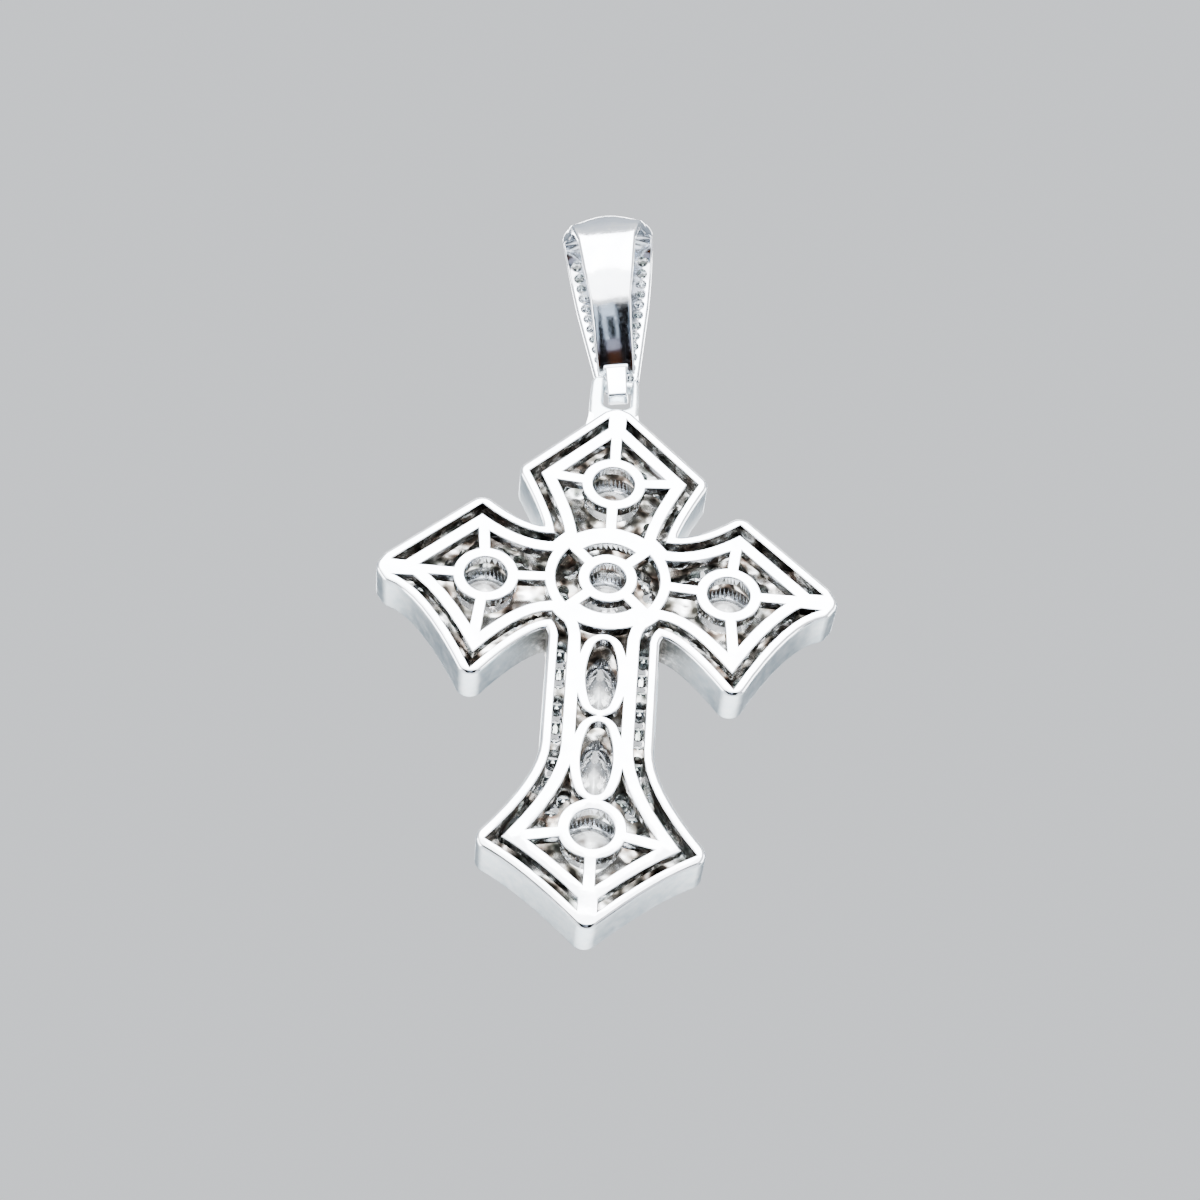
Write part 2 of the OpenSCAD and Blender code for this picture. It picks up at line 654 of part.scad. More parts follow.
module bail_stones() {
    color(stone) in_bail() for (k = [0:row_count - 1]) let (s = first_row_at + k * bail_row_pitch) on_bail(s)
        for (x = row_xs(s)) translate([x, 0, strip_t / 2 + bail_raise - arch_drop(s, x)])
            small_stone(bail_stone_r);
}

bail();
bail_stones();
cross_case();
pave_stones();
top_stone();
left_arm_stone();
right_arm_stone();
centre_stone();
foot_stone();
upper_marquise();
lower_marquise();
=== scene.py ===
# Cross pendant: a white metal cross with a deep pierced back, set with clear stones, on a tapered bail
import math
import bpy
import bmesh
from mathutils import Matrix, Vector
from mathutils.bvhtree import BVHTree
from mathutils.geometry import convex_hull_2d


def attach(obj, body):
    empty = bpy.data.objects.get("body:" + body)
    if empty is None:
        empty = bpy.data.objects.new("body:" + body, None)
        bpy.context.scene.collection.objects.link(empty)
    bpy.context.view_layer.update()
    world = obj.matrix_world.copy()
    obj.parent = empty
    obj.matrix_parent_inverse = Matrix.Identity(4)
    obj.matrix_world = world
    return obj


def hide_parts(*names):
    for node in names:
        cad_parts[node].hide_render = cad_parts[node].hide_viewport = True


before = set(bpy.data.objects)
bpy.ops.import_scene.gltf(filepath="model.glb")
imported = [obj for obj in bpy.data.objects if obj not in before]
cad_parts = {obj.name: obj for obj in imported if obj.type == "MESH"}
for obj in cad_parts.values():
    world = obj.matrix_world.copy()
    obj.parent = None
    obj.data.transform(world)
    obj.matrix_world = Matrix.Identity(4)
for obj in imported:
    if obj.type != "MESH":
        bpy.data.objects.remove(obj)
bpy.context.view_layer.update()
mm = 0.001
print("frame loaded")


# Small helpers
def linear(hexColour, alpha=1.0):
    parts = [int(hexColour[i:i + 2], 16) / 255 for i in (1, 3, 5)]
    return (*[p / 12.92 if p <= 0.04045 else ((p + 0.055) / 1.055) ** 2.4 for p in parts], alpha)


def feed(tree, node, links):
    # Links into the node's sockets. A source given as a node means its first output.
    for socket, source in links.items():
        tree.links.new(getattr(source, "outputs", [source])[0], node.inputs[socket])


def addNode(tree, kind, values=None, links=None, stops=None, **settings):
    node = tree.nodes.new(kind)
    for name, value in settings.items():
        setattr(node, name, value)
    for socket, value in (values or {}).items():
        node.inputs[socket].default_value = value
    feed(tree, node, links or {})
    if stops:
        band = node.color_ramp.elements
        while len(band) < len(stops):
            band.new(0.5)
        for element, (at, colour) in zip(band, stops):
            element.position, element.color = at, linear(colour)
    return node


def newMaterial(name, values):
    material = bpy.data.materials.new(name)
    material.use_nodes = True
    tree = material.node_tree
    tree.nodes.clear()
    shader = addNode(tree, "ShaderNodeBsdfPrincipled", values)
    addNode(tree, "ShaderNodeOutputMaterial", links={"Surface": shader})
    place = addNode(tree, "ShaderNodeTexCoord").outputs["Object"]
    return material, tree, shader, place


# Where the cross and the bail lie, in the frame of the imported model
places = {
    "cross": (-1.75838 * mm, -0.16122 * mm, -33.25888 * mm),   # medallion's centre on the back
    "hinge": (-1.62838 * mm, -1.91122 * mm, -14.10888 * mm),
    "lean": math.radians(5.5),
    "twist": math.radians(8),
}
inCross = Matrix.Translation(places["cross"]) @ Matrix.Rotation(math.pi / 2, 4, "X")
inBail = (Matrix.Translation(places["hinge"]) @ Matrix.Rotation(places["lean"], 4, "Y")
          @ Matrix.Rotation(-places["twist"], 4, "Z") @ Matrix.Rotation(math.pi / 2, 4, "X"))

# Camera: below and behind the hanging pendant
camera = {
    "eye": (3.918 * mm, 149.243 * mm, -144.257 * mm),
    "right": (-0.99598, 0.07283, 0.05214),
    "up": (0.08501, 0.58536, 0.80631),
    "view": math.radians(25.55),
}
lens = bpy.data.cameras.new("camera")
lens.sensor_width = 36
lens.angle = camera["view"]
lens.clip_start, lens.clip_end = 1 * mm, 20
cameraObject = bpy.data.objects.new("camera", lens)
right, up = Vector(camera["right"]), Vector(camera["up"])
turn = Matrix((right, up, right.cross(up))).transposed()
cameraObject.matrix_world = Matrix.Translation(camera["eye"]) @ turn.to_4x4()
bpy.context.collection.objects.link(cameraObject)
bpy.context.scene.camera = cameraObject


# Materials. A noise's scale is one over the width of its lumps, and its values lie mostly from 0.3 to 0.7.
def rhodiumPlate():
    # Sterling silver, cast, polished and plated with rhodium: a cold white mirror with faint casting ripples
    material, tree, shader, place = newMaterial("rhodium plate, polished", {"Metallic": 1.0})
    ripple = addNode(tree, "ShaderNodeTexNoise", {"Scale": 1 / (1.6 * mm), "Detail": 3.0, "Roughness": 0.55},
                     {"Vector": place})
    wear = addNode(tree, "ShaderNodeTexNoise", {"Scale": 1 / (0.3 * mm), "Detail": 3.0}, {"Vector": place})
    feed(tree, shader, {
        "Base Color": addNode(tree, "ShaderNodeValToRGB", links={"Fac": ripple},
                              stops=[(0.3, "#DFE4EC"), (0.7, "#F3F6FA")]),
        "Roughness": addNode(tree, "ShaderNodeMapRange", {
            "From Min": 0.3, "From Max": 0.7, "To Min": 0.08, "To Max": 0.17}, {"Value": wear}),
        "Normal": addNode(tree, "ShaderNodeBump", {"Strength": 0.3, "Distance": 0.03 * mm},
                          {"Height": ripple}),
    })
    return material


# Corners of the side wall between the arms and the shaft, darkened with painted shade: the distance from the
# medallion's centre where the painted shade shows fully, then the one where it ends
shadedCorners = {
    "aside": (4.0 * mm, 7.2 * mm),
    "below": (-6.0 * mm, -9.0 * mm),
    "above": (-3.5 * mm, -2.0 * mm),
}


def satinWall():
    # The same plate left from a fine rubber wheel: soft, icy and without a sharp reflection. In the corners
    # between the arms and the shaft it carries painted shade, dark and mottled.
    material, tree, shader, place = newMaterial("rhodium plate, satin wall", {"Metallic": 1.0})
    grain = addNode(tree, "ShaderNodeTexNoise", {"Scale": 1 / (0.7 * mm), "Detail": 4.0, "Roughness": 0.6},
                    {"Vector": place})
    pits = addNode(tree, "ShaderNodeTexNoise", {"Scale": 1 / (0.4 * mm), "Detail": 5.0, "Roughness": 0.7},
                   {"Vector": place})
    wallTone = addNode(tree, "ShaderNodeValToRGB", links={"Fac": grain},
                    stops=[(0.3, "#D8E7EE"), (0.7, "#F4FAFD")])
    # Painted shade for the corners: mottled, from near black to grey
    cornerShade = addNode(tree, "ShaderNodeValToRGB", links={"Fac": pits},
                  stops=[(0.38, "#2C2B29"), (0.52, "#77746F"), (0.66, "#B9BCBD")])
    parts = addNode(tree, "ShaderNodeSeparateXYZ", links={"Vector": place}).outputs
    across = addNode(tree, "ShaderNodeMath", {1: -places["cross"][0]}, {0: parts["X"]}, operation="ADD")
    aside = addNode(tree, "ShaderNodeMath", links={0: across}, operation="ABSOLUTE")
    shadeFades, height, centre = [], parts["Z"], places["cross"][2]
    for side, start, distance in (("aside", 0, aside), ("below", centre, height), ("above", centre, height)):
        full, none = shadedCorners[side]
        shadeFades.append(addNode(tree, "ShaderNodeMapRange", {
            "From Min": start + full, "From Max": start + none, "To Min": 1, "To Max": 0},
            {"Value": distance}))
    # Share of painted shade: full in the corners, none away from them
    low = addNode(tree, "ShaderNodeMath", links={0: shadeFades[0], 1: shadeFades[1]}, operation="MULTIPLY")
    corner = addNode(tree, "ShaderNodeMath", links={0: low, 1: shadeFades[2]}, operation="MULTIPLY")
    tint = addNode(tree, "ShaderNodeMix", links={0: corner, 6: wallTone, 7: cornerShade}, data_type="RGBA")
    feed(tree, shader, {
        "Base Color": tint.outputs[2],
        "Roughness": addNode(tree, "ShaderNodeMapRange", {
            "From Min": 0.3, "From Max": 0.7, "To Min": 0.32, "To Max": 0.42}, {"Value": grain}),
        "Normal": addNode(tree, "ShaderNodeBump", {"Strength": 0.25, "Distance": 0.03 * mm},
                          {"Height": pits}),
    })
    return material


def castInside():
    # The hollow inside the case, plated but never reached by the polishing wheel: lumpy metal with bright
    # patches, and dark patches that are painted shade of the hollow, brown in some places and faintly green in
    # others
    material, tree, shader, place = newMaterial("rhodium plate, as cast", {"Metallic": 1.0})
    lumps = addNode(tree, "ShaderNodeTexNoise", {"Scale": 1 / (1.7 * mm), "Detail": 1.2}, {"Vector": place})
    patches = addNode(tree, "ShaderNodeTexNoise", {"Scale": 1 / (1.1 * mm), "Detail": 1.2}, {"Vector": place})
    brownNoise = addNode(tree, "ShaderNodeTexNoise", {"Scale": 1 / (1.9 * mm), "Detail": 2.0}, {"Vector": place})
    brownShare = addNode(tree, "ShaderNodeMapRange", {"From Min": 0.3, "From Max": 0.7}, {"Value": brownNoise})
    # Near-black and grey stops are painted shade of the hollow; the brightest stops are the metal's own colour
    grey = addNode(tree, "ShaderNodeValToRGB", links={"Fac": patches},
                   stops=[(0.34, "#1C1E1B"), (0.46, "#666A66"), (0.58, "#C3C8CA"), (0.7, "#F2F5F8")])
    brown = addNode(tree, "ShaderNodeValToRGB", links={"Fac": patches},
                    stops=[(0.34, "#191310"), (0.46, "#5A4A41"), (0.6, "#A79F97"), (0.72, "#E4E3E1")])
    tint = addNode(tree, "ShaderNodeMix", links={0: brownShare, 6: grey, 7: brown}, data_type="RGBA")
    feed(tree, shader, {
        "Base Color": tint.outputs[2],
        "Roughness": addNode(tree, "ShaderNodeMapRange", {
            "From Min": 0.3, "From Max": 0.7, "To Min": 0.34, "To Max": 0.16}, {"Value": patches}),
        "Normal": addNode(tree, "ShaderNodeBump", {"Strength": 0.9, "Distance": 0.5 * mm},
                          {"Height": lumps}),
    })
    return material


# Cut cubic zirconia, polished
clearStone = {"Transmission Weight": 1.0, "Roughness": 0.0, "IOR": 2.15}


def cubicZirconia(name, paintedFacetShade):
    # Clear, with dark grey-green patches painted in at random for the dark facets beside the bright ones
    material, tree, shader, place = newMaterial(name, clearStone)
    facets = addNode(tree, "ShaderNodeTexNoise", {"Scale": 1 / (0.8 * mm), "Detail": 1.0}, {"Vector": place})
    tint = addNode(tree, "ShaderNodeValToRGB", links={"Fac": facets}, stops=[(0.38, paintedFacetShade), (0.6, "#F4F7F8")])
    feed(tree, shader, {"Base Color": tint})
    return material


# Points of the large stones: depth of their girdle from the back of the case, and how far up the glare grows
glare = {"girdle": 3.1 * mm, "grows": 0.9 * mm}


def glaringZirconia(name):
    # The large stones' points fill with white glare and brown shade when they are seen from behind; their
    # front halves stay clear
    material, tree, shader, place = newMaterial(name, clearStone)
    girdle = places["cross"][1] - glare["girdle"]
    parts = addNode(tree, "ShaderNodeSeparateXYZ", links={"Vector": place}).outputs
    point = addNode(tree, "ShaderNodeMapRange", {"From Min": girdle, "From Max": girdle + glare["grows"]},
                    {"Value": parts["Y"]})
    windows = addNode(tree, "ShaderNodeTexNoise", {"Scale": 1 / (2.0 * mm), "Detail": 1.0}, {"Vector": place})
    clear = addNode(tree, "ShaderNodeMapRange", {
        "From Min": 0.3, "From Max": 0.7, "To Min": 0.5, "To Max": 0.0}, {"Value": windows})
    facets = addNode(tree, "ShaderNodeTexNoise", {"Scale": 1 / (1.1 * mm), "Detail": 1.0}, {"Vector": place})
    shade = addNode(tree, "ShaderNodeValToRGB", links={"Fac": facets},
                    stops=[(0.38, "#554C46"), (0.6, "#F4F7F8")])
    tint = addNode(tree, "ShaderNodeMix", {6: linear("#F0F3F5")}, {0: point, 7: shade}, data_type="RGBA")
    feed(tree, shader, {
        "Transmission Weight": addNode(tree, "ShaderNodeMix", {2: 1.0}, {0: point, 3: clear},
                                       data_type="FLOAT"),
        "Base Color": tint.outputs[2],
    })
    return material


plate, satin, inside = rhodiumPlate(), satinWall(), castInside()
# Painted facet shade: darker for the bail's stones than for the cross's
crossZirconia = cubicZirconia("cubic zirconia, small stones", "#808C86")
bailZirconia = cubicZirconia("cubic zirconia, bail stones", "#4E5852")
largeZirconia = glaringZirconia("cubic zirconia, large stones")
print("materials made")

# Corners closer than this become one: in pieces joined here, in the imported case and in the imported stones
weld = {"joined": 0.002 * mm, "case": 0.004 * mm, "stones": 0.001 * mm}


# Helpers for the pieces
def newMesh(name, points, faces):
    mesh = bpy.data.meshes.new(name)
    mesh.from_pydata(points, [], faces)
    return mesh


def shapeMesh(name, shape):
    mesh = bpy.data.meshes.new(name)
    shape.to_mesh(mesh)
    shape.free()
    return mesh


def newPiece(name, mesh):
    piece = bpy.data.objects.new(name, mesh)
    bpy.context.collection.objects.link(piece)
    return piece


def bakeModifiers(piece):
    graph = bpy.context.evaluated_depsgraph_get()
    mesh = bpy.data.meshes.new_from_object(piece.evaluated_get(graph))
    piece.modifiers.clear()
    piece.data = mesh
    return piece


def flatForm(name, outlines, thickness, edge, place):
    # Outlines with rounded edges, filled and given a thickness about their own plane
    curve = bpy.data.curves.new(name, "CURVE")
    curve.dimensions, curve.fill_mode = "2D", "BOTH"
    for outline in outlines:
        spline = curve.splines.new("POLY")
        spline.points.add(len(outline) - 1)
        for point, (x, z) in zip(spline.points, outline):
            point.co = (x * mm, z * mm, 0, 1)
        spline.use_cyclic_u = True
    curve.extrude, curve.bevel_depth, curve.bevel_resolution = thickness / 2 - edge, edge, 3
    curve.offset = -edge
    drawn = newPiece(name, curve)
    bpy.context.view_layer.update()
    mesh = bpy.data.meshes.new_from_object(drawn.evaluated_get(bpy.context.evaluated_depsgraph_get()))
    bpy.data.objects.remove(drawn)
    mesh.name = name
    mesh.transform(place)
    return mesh


def joinMeshes(name, meshes):
    shape = bmesh.new()
    for mesh in meshes:
        shape.from_mesh(mesh)
    bmesh.ops.remove_doubles(shape, verts=shape.verts, dist=weld["joined"])
    bmesh.ops.recalc_face_normals(shape, faces=shape.faces)
    return shapeMesh(name, shape)


def rod(radius, length, place, sides=32):
    shape = bmesh.new()
    bmesh.ops.create_cone(shape, cap_ends=True, segments=sides, radius1=radius, radius2=radius, depth=length,
                          matrix=place)
    return shapeMesh("rod", shape)


def finishPiece(piece, body, sharp, replaced=None):
    # Edges that turn by more than "sharp" degrees stay crisp
    piece.data.shade_smooth()
    piece.data.set_sharp_from_angle(angle=math.radians(sharp))
    if not piece.data.materials:
        piece.data.materials.append(plate)
    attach(piece, body)
    if replaced:
        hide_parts(replaced)
    print(piece.name, "has", len(piece.data.polygons), "faces")


# Case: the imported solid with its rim, front edge and back openings rounded. Depths are from its back.
case = {
    "rimEdge": 0.3 * mm, "openingEdge": 0.085 * mm, "segments": 5,
    "depth": 3.2 * mm,
    "openDepth": 0.95 * mm,     # depth at which only the side wall is cut
    "loopFrom": 15.75 * mm,     # faces of the hanging loop lie above this height
    "waysOut": 16,              # directions in which the hollow's walls are looked for
    "firstWay": 0.37,           # share of a step by which they are turned, so that none runs along an edge
    "edgeProbe": 0.05 * mm, "faceProbe": 0.06 * mm,   # distance from a wall or face of the spot that is tried
    "flat": 0.99, "level": 0.002 * mm,   # a cap's face looks this straight back or ahead, and is this level
    "upright": 0.05,            # an upright wall turns no further than this to the back or front
    "turned": 0.5,              # a face that turns further than this to the back or front is no wall
    "mitre": 0.3,               # smallest divisor at a sharp corner, which limits its rounding
    # Faces given the as-cast metal, which carries the hollow's painted shade:
    "floorFrom": 0.72 * mm,     # in the hollow, faces turned back and deeper than this are as cast,
    "undersideTo": 1.8 * mm,    # so are faces turned to the front above this depth,
    "castWalls": (0.48 * mm, 2.8 * mm),   # and walls between these depths
    "sharp": 50,
}


def inHollow(tree, place):
    # Seen from the hollow, the side wall closes off every direction
    start = Vector((place.x, places["cross"][1] - case["openDepth"], place.z))
    turns = [math.tau * (k + case["firstWay"]) / case["waysOut"] for k in range(case["waysOut"])]
    return all(tree.ray_cast(start, Vector((math.cos(t), 0, math.sin(t))))[0] for t in turns)


def capSide(face):
    # "back" or "front" for the flat faces that close the case there
    if abs(face.normal.y) < case["flat"]:
        return None
    depths = [places["cross"][1] - v.co.y for v in face.verts]
    if max(abs(d) for d in depths) < case["level"]:
        return "back"
    return "front" if max(abs(d - case["depth"]) for d in depths) < case["level"] else None


def capEdges(shape, tree):
    # Edges between a flat face and an upright wall: [edge, side, the wall's normal, rounding radius]
    found = []
    for edge in shape.edges:
        sides = [capSide(face) for face in edge.link_faces]
        if len(sides) != 2 or (sides[0] is None) == (sides[1] is None):
            continue
        wall = edge.link_faces[0 if sides[0] is None else 1]
        if abs(wall.normal.y) > case["upright"]:
            continue
        side = sides[0] or sides[1]
        middle = (edge.verts[0].co + edge.verts[1].co) / 2
        if not inHollow(tree, middle + wall.normal * case["edgeProbe"]):
            found.append((edge, side, wall.normal.copy(), case["rimEdge"]))
        elif side == "back":
            found.append((edge, side, wall.normal.copy(), case["openingEdge"]))
    return found


def roundedFaces(shape, edges):
    # Points and faces of the shape with an arc in place of each of the given edges
    points = [v.co.copy() for v in shape.verts]
    near, arcs = {}, {}
    for edge, side, normal, radius in edges:
        for v in edge.verts:
            near.setdefault((v.index, side), []).append((normal, radius))
    for (index, side), walls in near.items():
        if len(walls) != 2:
            arcs[index, side] = [index] * (case["segments"] + 1)
            continue
        (one, radius), (two, other) = walls
        radius = min(radius, other)
        inward = -(one + two) / max(case["mitre"], 1 + one.dot(two)) * radius
        deep = Vector((0, -radius if side == "back" else radius, 0))
        start = points[index].copy()
        arc = [index]
        for k in range(1, case["segments"] + 1):
            turn = math.pi / 2 * k / case["segments"]
            arc.append(len(points))
            points.append(start + inward * (1 - math.cos(turn)) + deep * (1 - math.sin(turn)))
        points[index] = start + deep
        arcs[index, side] = arc
    faces = []
    for face in shape.faces:
        side = capSide(face)
        faces.append([arcs.get((v.index, side), [v.index])[-1] for v in face.verts])
    for edge, side, normal, radius in edges:
        one, two = [arcs[v.index, side] for v in edge.verts]
        outward = normal + Vector((0, 1 if side == "back" else -1, 0))
        for k in range(case["segments"]):
            corners = list(dict.fromkeys((one[k], two[k], two[k + 1], one[k + 1])))
            if len(corners) < 3:
                continue
            a, b, c = [points[i] for i in corners[:3]]
            if (b - a).cross(c - a).dot(outward) < 0:
                corners.reverse()
            faces.append(corners)
    return points, faces


def caseFinish(face, tree):
    # As cast in the hollow, which carries painted shade; satin on the outer wall, with painted shade in its
    # corners; polished elsewhere
    depth, facing = places["cross"][1] - face.center.y, face.normal.y
    hollow = inHollow(tree, face.center + face.normal * case["faceProbe"])
    shallow, deep = case["castWalls"]
    if facing > case["turned"]:
        cast = hollow and depth > case["floorFrom"]
    elif facing < -case["turned"]:
        cast = hollow and depth < case["undersideTo"]
    elif hollow:
        cast = shallow < depth < deep
    else:
        return satin
    return inside if cast else plate


def buildCase():
    shape = bmesh.new()
    shape.from_mesh(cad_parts["cross_case"].data)
    bmesh.ops.remove_doubles(shape, verts=shape.verts, dist=weld["case"])
    loopFaces = [f for f in shape.faces if f.calc_center_median().z > places["cross"][2] + case["loopFrom"]]
    solid = BVHTree.FromBMesh(shape)
    bmesh.ops.delete(shape, geom=loopFaces, context="FACES")
    shape.verts.index_update()
    points, faces = roundedFaces(shape, capEdges(shape, solid))
    shape.free()
    mesh = newMesh("crossCase", points, faces)
    mesh.validate()
    piece = newPiece("crossCase", mesh)
    finishes = [plate, satin, inside]
    for material in finishes:
        mesh.materials.append(material)
    for face in mesh.polygons:
        face.material_index = finishes.index(caseFinish(face, solid))
    finishPiece(piece, "cross", case["sharp"], "cross_case")


buildCase()

# Hanging loop: two rounded legs and a bar, grown together like a casting. Plain lengths are in millimetres.
loop = {
    "hingeZ": 19.15, "hingeDepth": 1.75, "half": 1.83, "shift": 0.3,
    "shoulder": [(-0.25, 19.6), (-0.06, 19.05), (0, 17.6)],   # [beyond the half width, height]
    "flareFrom": (-0.02, 16), "flareLean": (0.05, 14.95), "flareEnd": (2.5, 14.0), "flareSteps": 8,
    "gap": 1.04, "gapShift": 0.08, "gapFloor": 17.05, "gapTop": 19.6, "gapSteps": 12,
    "thickness": 1.3 * mm, "edge": 0.26 * mm, "barRadius": 0.5 * mm, "barIntoLeg": 0.3,
    "voxel": 0.055 * mm, "smoothing": 10, "sharp": 80,
}


def bend(start, lean, end, steps):
    # A curve that leaves "start" toward "lean" and stops one step before "end"
    points = []
    for k in range(steps):
        u, v = k / steps, 1 - k / steps
        points.append(tuple(v ** 2 * a + 2 * u * v * c + u * u * b for a, c, b in zip(start, lean, end)))
    return points


def legEdge(half):
    # Outer edge of one leg from its top down to the end of the flare
    start, lean = [(half + beyond, z) for beyond, z in (loop["flareFrom"], loop["flareLean"])]
    edge = [(half + beyond, z) for beyond, z in loop["shoulder"]]
    return edge + bend(start, lean, loop["flareEnd"], loop["flareSteps"]) + [loop["flareEnd"]]


def loopOutline():
    # Both legs and the gap between them, which ends in a flat half ellipse
    leftSide = [(-x, z) for x, z in legEdge(loop["half"] - loop["shift"])][::-1]
    rightSide = legEdge(loop["half"] + loop["shift"])
    turns = [math.pi * k / loop["gapSteps"] for k in range(loop["gapSteps"], -1, -1)]
    floor = [(loop["gapShift"] + loop["gap"] * math.cos(t), loop["gapFloor"] - loop["gap"] / 2 * math.sin(t))
             for t in turns]
    left, right = [(loop["gapShift"] + way * loop["gap"], loop["gapTop"]) for way in (-1, 1)]
    return leftSide + [left] + floor + [right] + rightSide


def buildLoop():
    middle = inCross @ Matrix.Translation((0, 0, loop["hingeDepth"] * mm))
    legs = flatForm("legs", [loopOutline()], loop["thickness"], loop["edge"], middle)
    across = Matrix.Translation((loop["gapShift"] * mm, loop["hingeZ"] * mm, 0))
    across = across @ Matrix.Rotation(math.pi / 2, 4, "Y")
    bar = rod(loop["barRadius"], 2 * (loop["gap"] + loop["barIntoLeg"]) * mm, middle @ across)
    piece = newPiece("hangingLoop", joinMeshes("hangingLoop", [legs, bar]))
    remesh = piece.modifiers.new("grown together", "REMESH")
    remesh.mode, remesh.voxel_size = "VOXEL", loop["voxel"]
    smooth = piece.modifiers.new("softened", "SMOOTH")
    smooth.factor, smooth.iterations = 0.5, loop["smoothing"]
    piece.data.materials.append(satin)
    finishPiece(bakeModifiers(piece), "cross", loop["sharp"])


buildLoop()

# Bail: a tapered strip swept along its path, pierced behind each stone, and a flat-backed ring below. Plain
# lengths are in millimetres. Tables give [distance along the path, value], and points of the path are [toward
# the front, height].
bail = {
    "foot": 0.2, "frontMid": 0.92, "backMid": -4.78, "bendFrom": 10.0, "bendRise": 4.56,
    "sweepFrom": 5.6, "sweepBy": (-3.4, 3.0), "waist": (-0.2, 1.22),   # the back's curve down to the ring
    "frontSteps": 40, "bendSteps": 60, "sweepSteps": 60,
    "thickness": 0.8, "rounding": 0.2, "cornerSteps": 4, "flatSteps": 8,
    "widths": [(0, 0.72), (0.9, 1.6), (8.2, 2.76), (13.5, 3.42), (15.4, 3.48), (18, 2.9), (20.9, 2.18),
               (23.8, 1.87), (26.2, 1.54), (28.5, 1.44), (32, 1.4)],
    "arches": [(12.7, 0), (14.8, 0.8), (17.4, 0.92), (18.6, 0.3), (19.6, 0), (23.2, 0), (25.6, -0.14),
               (31, -0.14)],
    "stoneDepth": 0.387 * mm,   # from a stone's point up to its girdle
    "holeRadius": 0.42 * mm, "holeLength": 2.2 * mm, "holeBelow": 0.6, "holeSides": 16,
    "legClear": 0.92 * mm, "legCut": 4 * mm,   # round cuts beside the ring, which leave room for the legs
    "ringRadius": 1.3, "ringHole": 0.74, "ringWidth": 1.44, "ringBack": (-1.85, 1.05), "ringSoft": 0.25,
    "ringWider": 0.24, "widerFrom": 0.7, "widerOver": 0.4, "ringEdge": 0.12 * mm, "ringSides": 36,
    "stripSharp": 35, "ringSharp": 40,
}


def valueAt(table, s):
    if s <= table[0][0]:
        return table[0][1]
    for (s0, v0), (s1, v1) in zip(table, table[1:]):
        if s <= s1:
            return v0 + (v1 - v0) * (s - s0) / (s1 - s0)
    return table[-1][1]


def stripPath():
    front, rear, foot, bendFrom = bail["frontMid"], bail["backMid"], bail["foot"], bail["bendFrom"]
    centre, reach = (front + rear) / 2, (front - rear) / 2
    points = [(front, foot + (bendFrom - foot) * k / bail["frontSteps"]) for k in range(bail["frontSteps"])]
    for k in range(bail["bendSteps"]):
        turn = math.pi * k / bail["bendSteps"]
        points.append((centre + reach * math.cos(turn), bendFrom + bail["bendRise"] * math.sin(turn)))
    for k in range(bail["sweepSteps"] + 1):
        u, v = k / bail["sweepSteps"], 1 - k / bail["sweepSteps"]
        corners = ((rear, bendFrom), (rear, bail["sweepFrom"]), bail["sweepBy"], bail["waist"])
        weights = (v ** 3, 3 * v * v * u, 3 * v * u * u, u ** 3)
        points.append(tuple(sum(w * c[i] for w, c in zip(weights, corners)) for i in (0, 1)))
    return points


def stripSection(width):
    # Rounded edges, and flat faces between them
    half, soft, points = bail["thickness"] / 2, bail["rounding"], []
    for cornerX, cornerY, first in ((1, 1, 0), (-1, 1, 90), (-1, -1, 180), (1, -1, 270)):
        for k in range(bail["cornerSteps"] + 1):
            turn = math.radians(first + 90 / bail["cornerSteps"] * k)
            points.append((cornerX * (width - soft) + soft * math.cos(turn),
                           cornerY * (half - soft) + soft * math.sin(turn)))
        if cornerX == cornerY:
            points += [(cornerX * (width - soft) * (1 - 2 * k / bail["flatSteps"]), cornerY * half)
                       for k in range(1, bail["flatSteps"])]
    return points


def buildStrip():
    path = stripPath()
    shape, rings, s = bmesh.new(), [], 0.0
    for i, here in enumerate(path):
        before, after = path[max(0, i - 1)], path[min(len(path) - 1, i + 1)]
        s += math.dist(before, here)
        ahead = Vector((after[0] - before[0], after[1] - before[1])).normalized()
        out = (ahead.y, -ahead.x)
        width, arch = valueAt(bail["widths"], s), valueAt(bail["arches"], s)
        ring = []
        for x, y in stripSection(width):
            away = y - arch * (x / width) ** 2
            spot = Vector((x, here[1] + out[1] * away, here[0] + out[0] * away)) * mm
            ring.append(shape.verts.new(inBail @ spot))
        rings.append(ring)
    count = len(rings[0])
    for near, far in zip(rings, rings[1:]):
        for k in range(count):
            shape.faces.new((near[k], near[(k + 1) % count], far[(k + 1) % count], far[k]))
    shape.faces.new(rings[0])
    shape.faces.new(rings[-1][::-1])
    bmesh.ops.recalc_face_normals(shape, faces=shape.faces)
    return newPiece("bailStrip", shapeMesh("bailStrip", shape))


def cutAway(piece, meshes):
    cutter = newPiece("cutter", joinMeshes("cutter", meshes))
    piece.data.materials.append(plate)
    # The holes' walls take the as-cast metal, with its painted shade
    cutter.data.materials.append(inside)
    cut = piece.modifiers.new("pierced", "BOOLEAN")
    cut.operation, cut.solver, cut.object = "DIFFERENCE", "MANIFOLD", cutter
    bakeModifiers(piece)
    bpy.data.objects.remove(cutter)
    return piece


